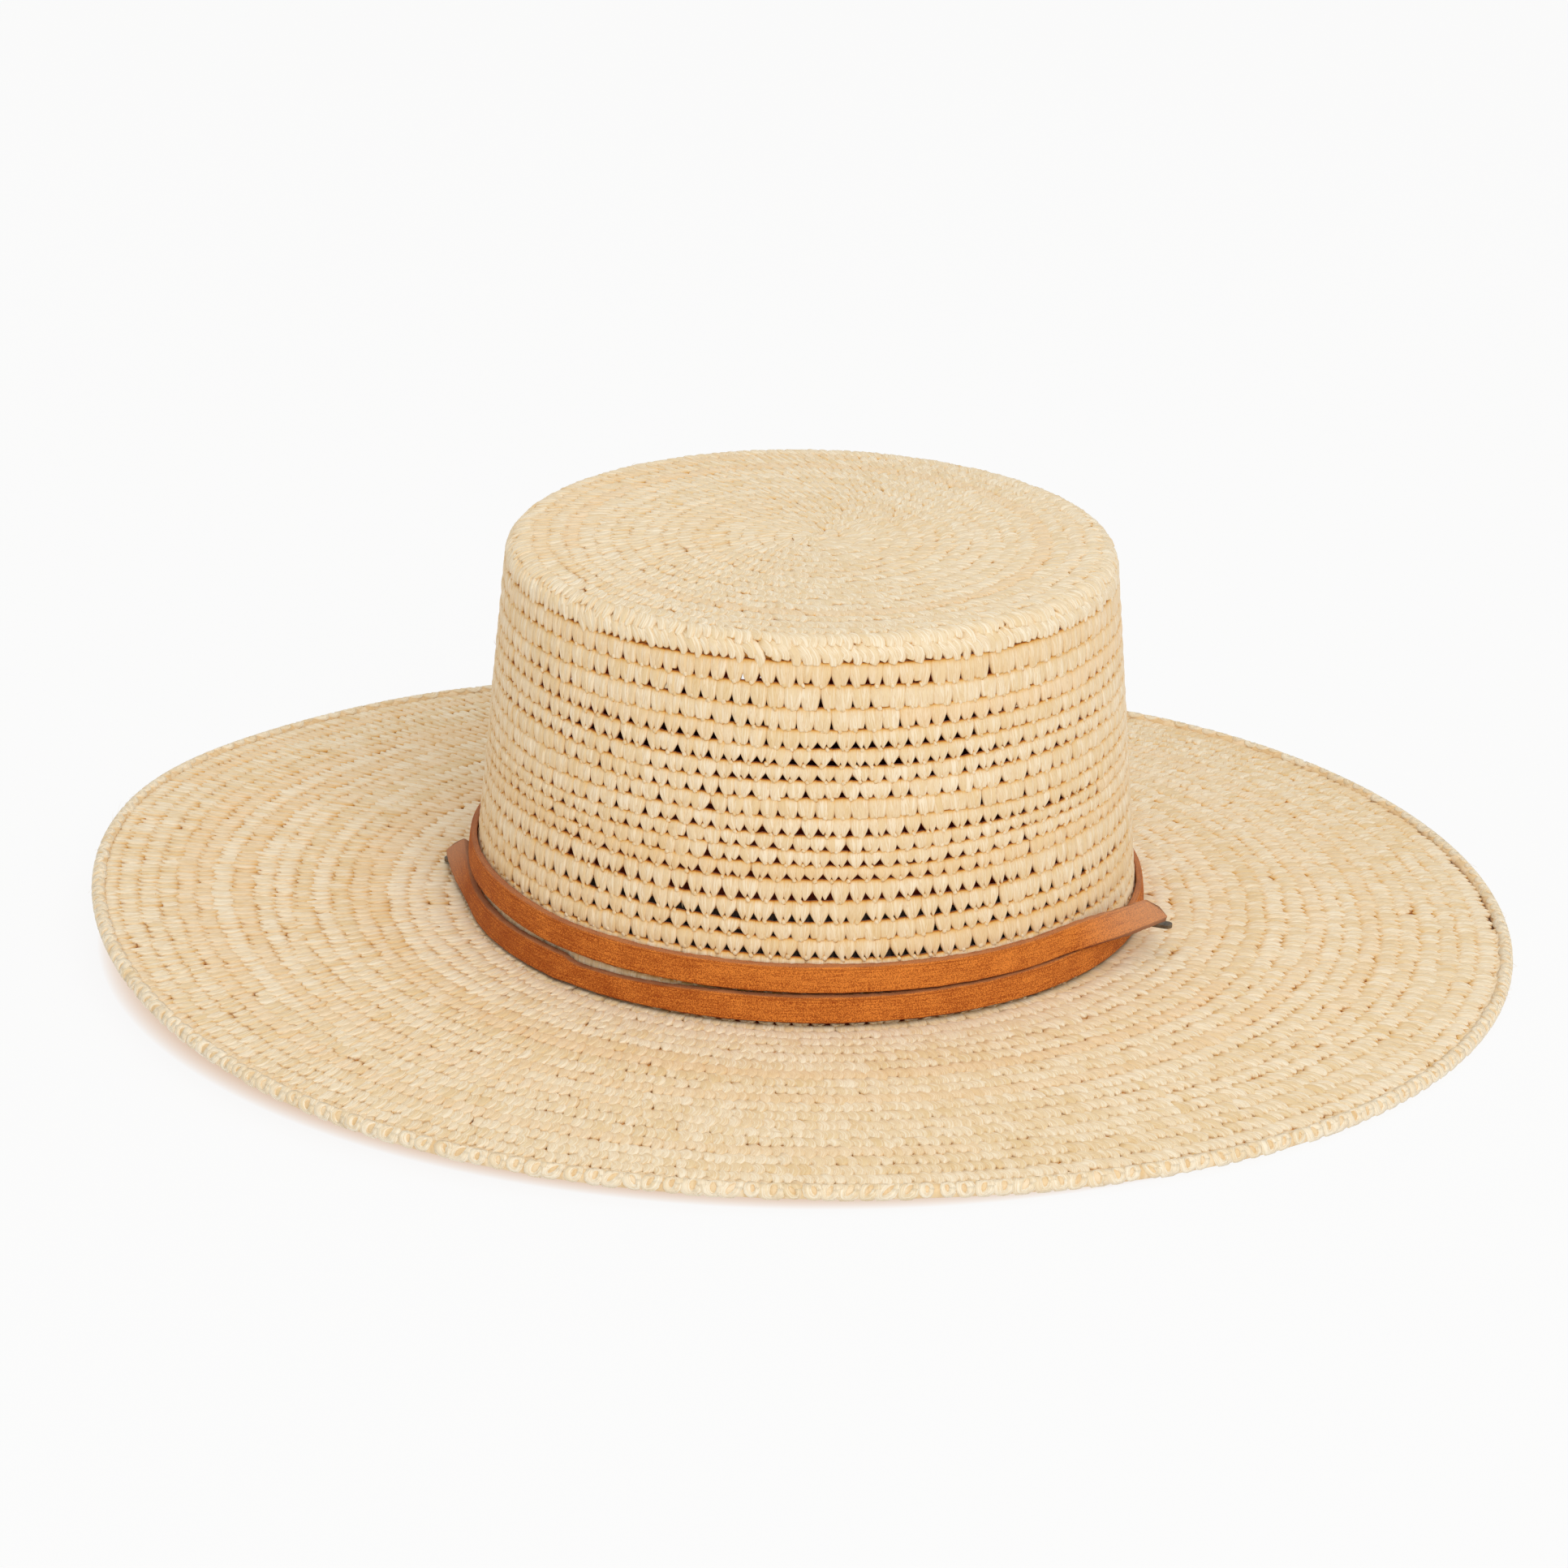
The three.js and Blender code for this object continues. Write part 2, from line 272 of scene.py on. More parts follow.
OPENNESS = openness()
WALL_LOOSENESS = [  # one number for each round, from the crown's head down to its foot
    0.8, 0.1, 0.3, 0.8, 1.1, 1.0, 0.7, 0.5, 0.4, 1.1, 0.8,
    0.8, 1.0, 1.2, 1.0, 0.6, 0.7, 1.1, 1.2, 0.6, 0.2,
]


def looseness(turns):
    """How open the rounds of the wall are: the front is the loosest."""
    own = np.interp(turns - WALL_TURN, np.arange(len(WALL_LOOSENESS)), WALL_LOOSENESS)
    front = 0.5 + 0.65 * np.clip(-np.sin(turns * TURN), 0, 1) ** 2
    return own * front + 0.14


# ---- strands ----

# Corners of a strand's section, as shares of its half width and half thickness.
FLAT_SECTION = np.array([
    (1, -0.2), (0.84, 0.62), (0.5, 1), (-0.5, 1),
    (-0.84, 0.62), (-1, -0.2), (-0.7, -1.5), (0.7, -1.5),
])
PLAIN_SECTION = np.array([
    (1, 0), (0.72, 0.95), (-0.72, 0.95), (-1, 0), (-0.72, -0.95), (0.72, -0.95),
])
DIAMOND_SECTION = np.array([(1, 0), (0, 1), (-1, 0), (0, -1)])
SHEET_MARGIN = 0.04  # bare rim of each row of the flat sheet that colours are baked to
GRAIN_SPREAD = 90  # strands' own numbers lie in this span, so that no two share a grain


def placed(name, data):
    """A new object, added to the scene."""
    thing = bpy.data.objects.new(name, data)
    bpy.context.scene.collection.objects.link(thing)
    return thing


class Straws:
    """Gathers strands, each a closed flat tube, into the arrays of one mesh.

    look: three numbers for the material. For straw they are lightness, warmth and how deep
    in the straw a point is, which sets how much painted shade it gets.
    grain: a place in mm across and along the strand, and a number of its own.
    """

    def __init__(self):
        self.points, self.faces, self.looks, self.grains = [], [], [], []
        self.sheet_places = []
        self.count = 0

    def add(self, points, looks, grains, sheet):
        """Adds strands and closes their ends. points: strands x stations x corners x 3."""
        strands, stations, corners, _ = points.shape
        index = np.arange(strands * stations * corners).reshape(strands, stations, corners)
        index = index + self.count
        after = np.roll(index, -1, axis=2)
        sides = np.stack([index[:, :-1], after[:, :-1], after[:, 1:], index[:, 1:]], axis=-1)
        self.faces.append(sides.reshape(-1, 4))
        for end, order in ((0, (3, 2, 1, 0)), (-1, (0, 1, 2, 3))):
            ring = index[:, end]
            for first in range(0, corners - 2, 2):
                quad = (0, first + 1, first + 2, (first + 3) % corners)
                self.faces.append(np.stack([ring[:, quad[i]] for i in order], axis=-1))
        self.points.append(points.reshape(-1, 3))
        self.looks.append(looks.reshape(-1, 3))
        self.grains.append(grains.reshape(-1, 3))
        self.sheet_places.append(sheet.reshape(-1, 2))
        self.count += strands * stations * corners

    def piece(self, name, material):
        """Makes the gathered strands into one mesh object."""
        points = np.concatenate(self.points)
        faces = np.concatenate(self.faces)
        mesh = bpy.data.meshes.new(name)
        mesh.vertices.add(len(points))
        mesh.vertices.foreach_set("co", points.astype(np.float32).ravel())
        mesh.loops.add(faces.size)
        mesh.loops.foreach_set("vertex_index", faces.astype(np.int32).ravel())
        mesh.polygons.add(len(faces))
        mesh.polygons.foreach_set("loop_start", np.arange(0, faces.size, 4, dtype=np.int32))
        mesh.update(calc_edges=True)
        mesh.shade_smooth()
        looks = np.concatenate(self.looks)
        colour = mesh.attributes.new("look", "FLOAT_COLOR", "POINT")
        colour.data.foreach_set("color", np.column_stack([looks, np.ones(len(looks))]).ravel())
        grain = mesh.attributes.new("grain", "FLOAT_VECTOR", "POINT")
        grain.data.foreach_set("vector", np.concatenate(self.grains).ravel())
        sheet = mesh.uv_layers.new(name="OFBake")
        places = np.concatenate(self.sheet_places)[faces.ravel()]
        sheet.data.foreach_set("uv", places.astype(np.float32).ravel())
        mesh.materials.append(material)
        return placed(name, mesh)


def together(shape, *values):
    """Spreads each value over the shape, and stacks them as the last axis."""
    return np.stack([np.broadcast_to(value, shape) for value in values], axis=-1)


def inside_margin(share):
    """Where a share of a row lies on the sheet, with a bare rim at both ends."""
    return SHEET_MARGIN + (1 - 2 * SHEET_MARGIN) * share


def in_rows(rows, share, start, up):
    """Where a point lies on a sheet cut into rows: start picks the row, up is within it."""
    row = np.minimum(np.floor(start * rows), rows - 1)
    along = inside_margin(share * rows - row)
    return together(along.shape, along, (row + up) / rows)


def sheet_place(turns, first, last, angle, depth):
    """Where a point of a band of rounds lies on its sheet."""
    share = (angle / TURN - turns) + turns % 1
    low, high = depth_at(first), depth_at(last + 1)
    across = np.clip((depth - low) / (high - low), -0.02, 1.02)
    return in_rows(10, share, turns % 1, inside_margin(across))


LEAST_RADIUS = 2.4 * MM  # keeps the first stitches from turning round the tip's middle
LEAST_DEPTH = 0.2 * MM


def strands(band, turns, path, size, roll, section, looks, rims, limits):
    """Flat strands along paths on the straw's surface.

    path: (along the round, across it, out of it), each strands x stations, in metres.
    size: half the width and half the thickness.
    rims: the painted shade at the sides and at the ends, by station, and on the inside.
    """
    half_width, half_thick = size
    side_rim, end_rim, inside_rim = rims
    along, across, out = path
    run, fall = np.gradient(along, axis=1), np.gradient(across, axis=1)
    length = np.hypot(run, fall) + 1e-9
    side_along, side_across = fall / length, -run / length
    wide = half_width[..., None] * section[:, 0]
    thick = half_thick[..., None] * section[:, 1]
    lean, rise = np.cos(roll)[..., None], np.sin(roll)[..., None]
    sideways = wide * lean - thick * rise
    a = along[..., None] + side_along[..., None] * sideways
    b = across[..., None] + side_across[..., None] * sideways
    n = out[..., None] + wide * rise + thick * lean
    base = (depth_at(turns) + unevenness(turns))[:, None, None]
    radius = round_radius(turns)[:, None, None]
    angle = (turns * TURN)[:, None, None] + a / np.maximum(radius, LEAST_RADIUS)
    depth = within_edge(np.maximum(base + b, LEAST_DEPTH))
    points = on_straw(angle, depth, n)
    shape = wide.shape
    # Painted shade: the sides, the ends and the inner face of each strand are darkened and warmed,
    # as where strands touch and hide each other.
    beside = np.clip((np.abs(section[:, 0]) - 0.5) / 0.45, 0, 1)
    rim = np.where(section[:, 1] < -0.5, inside_rim, side_rim[..., None] * beside)
    rim = rim + end_rim[..., None]
    light, warm = (look[:, None, None] for look in looks)
    shown = together(shape, light, warm, np.clip(rim, 0, 1.2))
    travelled = np.cumsum(length, axis=1)[..., None]
    own = rng.random(shape[0])[:, None, None] * GRAIN_SPREAD
    grain = together(shape, wide / MM, travelled / MM, own)
    sheet = sheet_place(turns[:, None, None], *limits, angle, depth)
    band.add(points, shown, grain, sheet)


STATIONS = 7  # along a strand
THICK = 0.62 * MM  # from the middle of a strand to its face
LIFT = 0.3 * MM  # how far the strands lie out of the middle of the straw
PAINTED_LIGHT_ROUNDS = 5  # painted light: the brim is made paler beside the strap, against the shade there
PAINTED_LIGHT_BESIDE_STRAP = 0.22


def legs(band, chosen, style, limits):
    """The two legs of each stitch, and on the wall the small knot between them."""
    turns = TURNS[chosen]
    count = len(turns)
    radius = round_radius(turns)
    spacing = np.append(np.diff(TURNS), 0)[chosen] * TURN * radius
    spacing = np.clip(spacing, 2.6 * MM, 6 * MM)[:, None]
    tall = (depth_at(turns + 1) - depth_at(turns))[:, None]
    tall = tall + (unevenness(turns + 1) - unevenness(turns))[:, None]
    # down runs from the stitch's head, 0, to its foot, 1, with more stations near the foot.
    down = 1 - (1 - np.linspace(0, 1, STATIONS)[None, :]) ** 1.5
    swell = np.sin(math.pi * (0.12 + 0.78 * down)) ** style["swell"]
    open_here = style["taper"] * (1 + 0.45 * OPENNESS[chosen])[:, None]
    if style["knot"] is not None:
        open_here = open_here * looseness(turns)[:, None]
    else:
        open_here = open_here * (1 - 0.4 * np.clip(-np.sin(turns * TURN), 0, 1) ** 4)[:, None]
        open_here = open_here * np.clip(turns / 6, 0.2, 1)[:, None]
    open_here = np.clip(open_here, 0.05, style["widest"])
    calm = 1 - style["calm"] * np.clip(-np.sin(turns * TURN), 0, 1)[:, None] ** 2
    # Painted light on the brim's first rounds, beside the strap.
    beside_strap = np.clip(1 - (turns - BRIM_TURN) / PAINTED_LIGHT_ROUNDS, 0, 1) * (turns >= BRIM_TURN)
    slant = style["slant"] * rng.normal(0.3, 1, (count, 1))
    for top, foot, width, roll in style["legs"]:
        jitter = rng.normal(0, 1, (4, count, 1))
        along = spacing * (top + (foot + slant - top) * down**style["bend"] + 0.022 * jitter[0])
        along = along + spacing * style["bow"] * np.sin(math.pi * down)
        along = along + spacing * style["lean"] * (down - 0.5)
        across = tall * (style["top"] + (0.99 - style["top"] + style["ragged"] * jitter[1]) * down)
        tucked = 0.3 * MM * np.clip(1 - down / 0.35, 0, 1)
        out = LIFT + 0.3 * HALF_STRAW * (swell - 0.6) + 0.05 * MM * jitter[2] - tucked
        near_foot = np.clip((down - style["straight"]) / (1 - style["straight"]), 0, 1)
        taper = 1 - open_here * near_foot ** style["end"]
        half_width = spacing * width * taper * (1 + 0.06 * jitter[3])
        half_thick = THICK * swell * np.ones_like(along)
        # Painted shade at a leg's head, where it tucks under the round before, at its foot and
        # along its sides.
        near_head = np.clip(1.25 - down / 0.26, 0, 1)
        end_rim = (style["head"] * near_head + 0.5 * down**16) * calm
        side_rim = style["side"] * (style["high"] + (1 - style["high"]) * down**2) * calm
        tilt = np.broadcast_to(roll + style["tilt"] * rng.normal(0, 1, (count, 1)), along.shape)
        look = (
            style["tone"] + PAINTED_LIGHT_BESIDE_STRAP * beside_strap
            + style["mottle"] * (0.16 * LIGHT[chosen] + 0.14 * rng.normal(0, 1, count)),
            np.clip(WARM[chosen] + style["warm"] + 0.1 * rng.random(count), 0, 1),
        )
        strands(
            band, turns, (along, across, out), (half_width, half_thick), tilt, FLAT_SECTION, look,
            (side_rim, end_rim, style["inside"]), limits,
        )
    if style["knot"] is not None:
        knots(band, turns, spacing, tall, limits, style["knot"])


def knots(band, turns, spacing, tall, limits, middle):
    """The small loop that shows at the foot of each stitch, between its legs."""
    count = len(turns)
    down = np.linspace(-1, 1, 4)[None, :]
    jitter = rng.normal(0, 1, (3, count, 1))
    along = spacing * (middle + 0.05 * jitter[0] + 0.09 * down)
    across = tall * (0.97 + 0.03 * jitter[1] + 0.15 * down)
    out = 0.34 * HALF_STRAW * np.ones_like(along)
    round_off = np.sqrt(1 - (0.9 * down) ** 2)
    half_width = spacing * 0.13 * round_off * (1 + 0.12 * jitter[2])
    half_thick = 0.5 * HALF_STRAW * round_off * np.ones_like(along)
    look = (0.6 + 0.15 * rng.normal(0, 1, count), 0.15 * rng.random(count))
    level = np.zeros_like(along)
    # Painted shade on the knot's sides, its ends and its inner face.
    strands(
        band, turns, (along, across, out), (half_width, half_thick), level, PLAIN_SECTION, look,
        (np.ones_like(along), np.abs(down) ** 5 + 0 * along, 1.0), limits,
    )


def core(band, first, last, low, high, limits):
    """The strand that each round is worked over: a flat cord behind the stitches."""
    per_turn = 150
    stations = np.arange(first * per_turn, last * per_turn + 1) / per_turn
    tall = depth_at(stations + 1) - depth_at(stations)
    middle = depth_at(stations) + unevenness(stations) + tall * (low + high) / 2
    half = tall * (high - low) / 2
    angle = np.broadcast_to(stations[:, None] * TURN, (len(stations), 4))
    depth = middle[:, None] + half[:, None] * DIAMOND_SECTION[:, 0]
    depth = within_edge(np.maximum(depth, LEAST_DEPTH))
    out = -0.25 * MM + 0.3 * MM * DIAMOND_SECTION[:, 1]
    points = on_straw(angle, depth, np.broadcast_to(out, depth.shape))
    shape = points.shape[:2]
    # The cord is drawn darker and warmer, with deep painted shade, for the shade it lies in behind
    # the stitches.
    looks = together(shape, 0.3, 0.5, 1.1)
    grain = together(shape, 0, angle * 90, 0)
    sheet = sheet_place(stations[:, None], *limits, angle, depth)
    band.add(points[None], looks[None], grain[None], sheet[None])


# How each part is worked. Sizes are shares of a stitch's width or of its round's depth.
# legs: place of the head and of the foot along the round, half width, and roll.
# top: place of the head across the round, where a minus reaches over the round before.
# knot: place of the knot along the round, where there is one.
# taper, straight, end: how much, from where and how suddenly a leg narrows to its foot.
# widest: the most that it narrows. swell: how suddenly its thickness grows at its ends.
# bend, bow, lean: how a leg runs over to its foot, bulges and leans along the round.
# slant, ragged, tilt: how much legs differ along and across the round, and in roll.
# tone, mottle, warm: lightness, how much it differs, and warmth, which on the wall is partly
# painted bounce light.
# side, high, head, inside: how much painted shade a leg gets beside it, at its head and behind it.
# calm: how much of that is lost at the front, which the photograph shows out of focus.
# The wall's warm of 0.2 is painted warm bounce light, over the straw's own warmth.
WALL_STYLE = {
    "bend": 1.3, "taper": 0.74, "knot": 0.02, "swell": 0.4, "slant": 0.05, "top": -0.08,
    "straight": 0.4, "end": 1.3, "tilt": 0.06, "ragged": 0.06, "bow": 0.0, "warm": 0.2,
    "side": 0.8, "high": 0.3, "head": 1.2, "inside": 1.2, "calm": 0.0,
    "widest": 0.88, "tone": 0.5, "mottle": 0.8, "lean": 0.0,
    "legs": [(-0.26, -0.13, 0.36, 0.08), (0.23, 0.15, 0.37, 0.08)],
}
BRIM_STYLE = {
    "bend": 1.3, "taper": 0.95, "knot": None, "swell": 0.25, "slant": 0.05, "top": -0.2,
    "straight": 0.45, "end": 1.9, "tilt": 0.1, "ragged": 0.12, "bow": 0.24, "warm": 0.0,
    "side": 0.8, "high": 0.7, "head": 1.0, "inside": 0.5, "calm": 0.4,
    "widest": 0.9, "tone": 0.58, "mottle": 1.0, "lean": 0.1,
    "legs": [(-0.33, -0.17, 0.34, 0.07), (0.17, 0.33, 0.34, 0.07)],
}
TIP_STYLE = {
    **BRIM_STYLE, "swell": 0.18, "taper": 0.75, "side": 0.7, "head": 0.72, "inside": 1.0,
    "calm": 0.0, "slant": 0.12, "ragged": 0.14, "bow": 0.3, "tone": 0.64, "mottle": 0.5,
    "lean": 0.4,
}


def tip_knot(band, limits):
    """The drawn-up ring that the spiral starts from: short strands across the tip's middle."""
    count = 4
    share = np.linspace(-1, 1, STATIONS)[None, :, None]
    turned = (np.arange(count) * math.pi / count)[:, None, None]
    along = 3.6 * MM * share
    wide = 1.5 * MM * np.sqrt(1 - (0.93 * share) ** 2) * FLAT_SECTION[:, 0]
    x = np.cos(turned) * along - np.sin(turned) * wide
    y = np.sin(turned) * along + np.cos(turned) * wide
    lift = LIFT + 0.1 * MM - 0.55 * MM * share**2 + THICK * FLAT_SECTION[:, 1]
    z = TIP_TOP - HALF_STRAW + lift + 0.03 * MM * np.arange(count)[:, None, None]
    shape = x.shape
    points = together(shape, x, y, z)
    # Painted shade on the sides and lower half of the knot's strands.
    looks = together(shape, 0.5, 0.1, 0.9 * (1 - np.clip(FLAT_SECTION[:, 1], 0, 1)))
    grain = together(shape, wide / MM, along / MM, 20 + turned)
    place = sheet_place(0.05 + 0 * x, *limits, 0.3 + 0.05 * turned + 0 * x, 1 * MM + 0.3 * wide)
    band.add(points, looks, grain, place)


def band_of_rounds(name, first, last, style, core_share, material):
    """A piece of straw made of the rounds from first up to last."""
    band = Straws()
    chosen = np.flatnonzero((first <= TURNS) & (last > TURNS))
    limits = (first, last)
    legs(band, chosen, style, limits)
    core(band, first, last, *core_share, limits)
    if first == 0:
        tip_knot(band, limits)
    return band.piece(name, material)


# ---- the edge of the brim ----

EDGE_RADIUS = 2.2 * MM
EDGE_CORD_RADIUS = 1.85 * MM
EDGE_MIDDLE_RADIUS = 195 * MM  # about how far the cord is from the crown's axis
EDGE_LOOPS = 238
EDGE_SHEET_ROWS = 4
LOOP_HALF_TURN = math.radians(70)  # how far a loop reaches round the cord, to each side
LOOP_MIDDLE = math.radians(44)  # above the outermost point of the cord


def around_edge(angle, around, out):
    """Points round the cord in the brim's edge. around is 0 outward and grows upward."""
    reach, height = edge_at(angle)
    radius = reach - EDGE_RADIUS + out * np.cos(around)
    return round_axis(angle, radius, height + out * np.sin(around))


def edge_round(material):
    """The last round: a row of loops, worked over the wire."""
    band = Straws()
    count = EDGE_LOOPS
    centre = (np.arange(count) + rng.normal(0, 0.06, count)) * TURN / count
    ring = np.linspace(0, 1, 13)
    section = PLAIN_SECTION
    size = 1 + 0.15 * rng.normal(0, 1, (count, 1))
    half_length = TURN / count * 0.36 * size
    turn = ring[None, :] * TURN
    along = half_length * np.cos(turn)
    around = LOOP_MIDDLE + size * LOOP_HALF_TURN * np.sin(turn)
    wide = 1.3 * MM * size * (1 + 0.2 * np.sin(turn + rng.random((count, 1)) * TURN))
    along = along + half_length * 0.3 * rng.normal(0.4, 1, (count, 1)) * np.sin(turn)
    across_loop = np.cos(turn) * wide, np.sin(turn) * wide
    angle = centre[:, None, None] + along[..., None]
    angle = angle + across_loop[0][..., None] * section[:, 0] / EDGE_MIDDLE_RADIUS
    turned = around[..., None] + across_loop[1][..., None] * section[:, 0] / EDGE_RADIUS
    out = EDGE_RADIUS - 0.55 * MM + 0.62 * MM * section[:, 1]
    points = around_edge(angle, turned, out)
    shape = points.shape[:3]
    # The loops are drawn paler than the rounds, as painted light against the shade they get, with
    # painted shade along their sides.
    tone = 0.83 + 0.16 * rng.normal(0, 1, count)
    warm = 0.15 * rng.random(count)
    depth = 0.85 * (1 - np.abs(section[:, 1]))
    looks = together(shape, tone[:, None, None], warm[:, None, None], depth)
    own = rng.random(count)[:, None, None] * GRAIN_SPREAD
    grain = together(shape, wide[..., None] * section[:, 0] / MM, turn[..., None] * 2, own)
    start = centre[:, None, None] / TURN
    place = in_rows(EDGE_SHEET_ROWS, angle / TURN, start, 0.5 + (turned - 0.5) * 0.2)
    band.add(points, looks, grain, place)
    edge_cord(band)
    return band.piece("brim_edge_loops", material)


def edge_cord(band):
    """The straw inside the edge loops, which covers the wire."""
    stations = np.linspace(0, TURN, 361)
    corners = np.linspace(0, TURN, 9)[:-1]
    angle = np.broadcast_to(stations[:, None], (len(stations), len(corners)))
    points = around_edge(angle, np.broadcast_to(corners, angle.shape), EDGE_CORD_RADIUS)
    shape = points.shape[:2]
    # The cord is drawn darker and warm, with some painted shade, as it lies under the loops.
    looks = together(shape, 0.45, 0.5, 0.45)
    grain = together(shape, 0, angle * 190, 0)
    place = in_rows(EDGE_SHEET_ROWS, angle / TURN, angle / TURN, 0.1 + corners / 80)
    band.add(points[None], looks[None], grain[None], place[None])


# ---- materials ----


class Nodes:
    """Short ways to add nodes to a new material."""

    def __init__(self, name):
        self.material = bpy.data.materials.new(name)
        self.material.use_nodes = True
        self.tree = self.material.node_tree
        self.shader = self.tree.nodes["Principled BSDF"]

    def add(self, kind, inputs=None, **settings):
        node = self.tree.nodes.new(kind)
        for key, value in settings.items():
            setattr(node, key, value)
        for key, value in (inputs or {}).items():
            self.feed(node, key, value)
        return node

    def feed(self, node, key, value):
        if isinstance(value, bpy.types.NodeSocket):
            self.tree.links.new(value, node.inputs[key])
        else:
            node.inputs[key].default_value = value

    def maths(self, operation, *values):
        node = self.add("ShaderNodeMath", operation=operation)
        for i, value in enumerate(values):
            self.feed(node, i, value)
        return node.outputs[0]

    def mixed(self, share, first, second):
        node = self.add("ShaderNodeMix", data_type="RGBA")
        for key, value in ((0, share), (6, first), (7, second)):
            self.feed(node, key, value)
        return node.outputs[2]

    def noise(self, place, scale, detail):
        inputs = {"Vector": place, "Scale": scale, "Detail": detail}
        return self.add("ShaderNodeTexNoise", inputs).outputs["Fac"]

    def scaled(self, place, scale, moved=(0.0, 0.0, 0.0)):
        node = self.add("ShaderNodeMapping", {"Vector": place})
        node.inputs["Scale"].default_value = scale
        node.inputs["Location"].default_value = moved
        return node.outputs[0]

    def look(self):
        """The three numbers that each point has in its look."""
        look = self.add("ShaderNodeAttribute", attribute_name="look").outputs["Color"]
        return self.add("ShaderNodeSeparateColor", {"Color": look}).outputs

    def grain(self):
        return self.add("ShaderNodeAttribute", attribute_name="grain").outputs["Vector"]

    def spread(self, value, low, high, to_low=0.0, to_high=1.0):
        inputs = {0: value, 1: low, 2: high, 3: to_low, 4: to_high}
        return self.add("ShaderNodeMapRange", inputs).outputs[0]

    def surface(self, colour, roughness, bump, constants):
        """Feeds the shader. bump: a height, the bump's strength and its depth in metres."""
        height, strength, depth = bump
        inputs = {"Height": height, "Strength": strength, "Distance": depth}
        normal = self.add("ShaderNodeBump", inputs).outputs[0]
        inputs = {"Base Color": colour, "Roughness": roughness, "Normal": normal, **constants}
        for key, value in inputs.items():
            self.feed(self.shader, key, value)
        return self.material


def straw_material():
    """Pale dry raffia: fibres along each strand, and painted shade, darker and warmer, where
    strands touch.
    """
    m = Nodes("raffia")
    parts, grain = m.look(), m.grain()
    fibres = m.noise(m.scaled(grain, (2.4, 0.16, 1.0)), 1.0, 3.0)
    fine = m.noise(m.scaled(grain, (7.0, 0.5, 1.0)), 1.0, 2.0)
    blotches = m.noise(m.scaled(grain, (0.3, 0.25, 1.0)), 1.0, 2.0)
    value = m.maths("ADD", parts[0], m.spread(fibres, 0.35, 0.65, -0.3, 0.3))
    value = m.maths("ADD", value, m.spread(blotches, 0.3, 0.7, -0.15, 0.15))
    pale, deep = (0.925, 0.82, 0.635, 1), (0.80, 0.61, 0.345, 1)
    colour = m.mixed(m.spread(value, 0.1, 0.9), deep, pale)
    colour = m.mixed(m.maths("MULTIPLY", parts[1], 0.55), colour, (0.87, 0.62, 0.36, 1))
    off_crease = m.maths("ABSOLUTE", m.maths("SUBTRACT", fibres, 0.5))
    crease = m.spread(off_crease, 0.0, 0.055, 0.5, 0.0)
    colour = m.mixed(crease, colour, (0.66, 0.41, 0.16, 1))
    # Painted shade: deep gold where strands touch, and dark brown on their hidden inner faces and
    # in the holes.
    rim = m.maths("POWER", parts[2], 2.5)
    colour = m.mixed(m.maths("MULTIPLY", rim, 0.8), colour, (0.74, 0.38, 0.045, 1))
    inside = m.spread(parts[2], 1.0, 1.2)
    colour = m.mixed(inside, colour, (0.46, 0.12, 0.01, 1))
    height = m.maths("ADD", fibres, m.maths("MULTIPLY", fine, 0.5))
    return m.surface(colour, m.spread(fine, 0.3, 0.7, 0.42, 0.62), (height, 0.45, 0.12 * MM), {
        "Specular IOR Level": 0.42, "Sheen Weight": 0.15, "Sheen Roughness": 0.45,
        "Sheen Tint": (1.0, 0.97, 0.9, 1),
    })


GROOVE_PLACE = 2.85  # a line pressed beside the strap's upper edge, in mm from its middle


def leather_material():
    """Tan leather with a nap: fine specks, faint lengthwise grain, pressed line, dark cut edges
    with painted shade on the lower ones, and a painted pinkish sheen.
    """
    m = Nodes("leather")
    parts, grain = m.look(), m.grain()
    specks = m.noise(grain, 3.4, 4.0)
    streaks = m.noise(m.scaled(grain, (2.6, 0.12, 1.0)), 1.0, 4.0)
    patches = m.noise(grain, 0.12, 3.0)
    nap = m.spread(specks, 0.38, 0.62, -0.1, 0.9)
    value = m.maths("ADD", nap, m.spread(streaks, 0.38, 0.62, -0.14, 0.26))
    value = m.maths("ADD", value, m.spread(patches, 0.3, 0.7, -0.12, 0.18))
    value = m.maths("ADD", value, m.maths("SUBTRACT", parts[0], 0.5))
    colour = m.mixed(value, (0.34, 0.068, 0.007, 1), (0.80, 0.26, 0.042, 1))
    groove = m.add("ShaderNodeSeparateXYZ", {"Vector": grain}).outputs["X"]
    from_groove = m.maths("ABSOLUTE", m.maths("SUBTRACT", groove, GROOVE_PLACE))
    pressed = m.spread(from_groove, 0.08, 0.24, 0.6, 0.0)
    pressed = m.maths("MULTIPLY", pressed, m.spread(specks, 0.4, 0.6))
    colour = m.mixed(pressed, colour, (0.24, 0.05, 0.008, 1))
    # The cut edges are the leather's own darker edges, deepened as painted shade on the lower ones.
    colour = m.mixed(parts[2], colour, (0.13, 0.015, 0.002, 1))
    # Painted sheen: pinkish where the strap leans back to face up, and a painted highlight on its
    # upper cut edges.
    colour = m.mixed(m.maths("MULTIPLY", parts[1], 0.55), colour, (0.58, 0.34, 0.21, 1))
    height = m.maths("ADD", specks, m.maths("MULTIPLY", streaks, 0.8))
    return m.surface(colour, m.spread(specks, 0.3, 0.7, 0.62, 0.85), (height, 0.8, 0.18 * MM), {
        "Specular IOR Level": 0.12, "Sheen Weight": 0.04, "Sheen Roughness": 0.5,
        "Sheen Tint": (1.0, 0.72, 0.55, 1),
    })


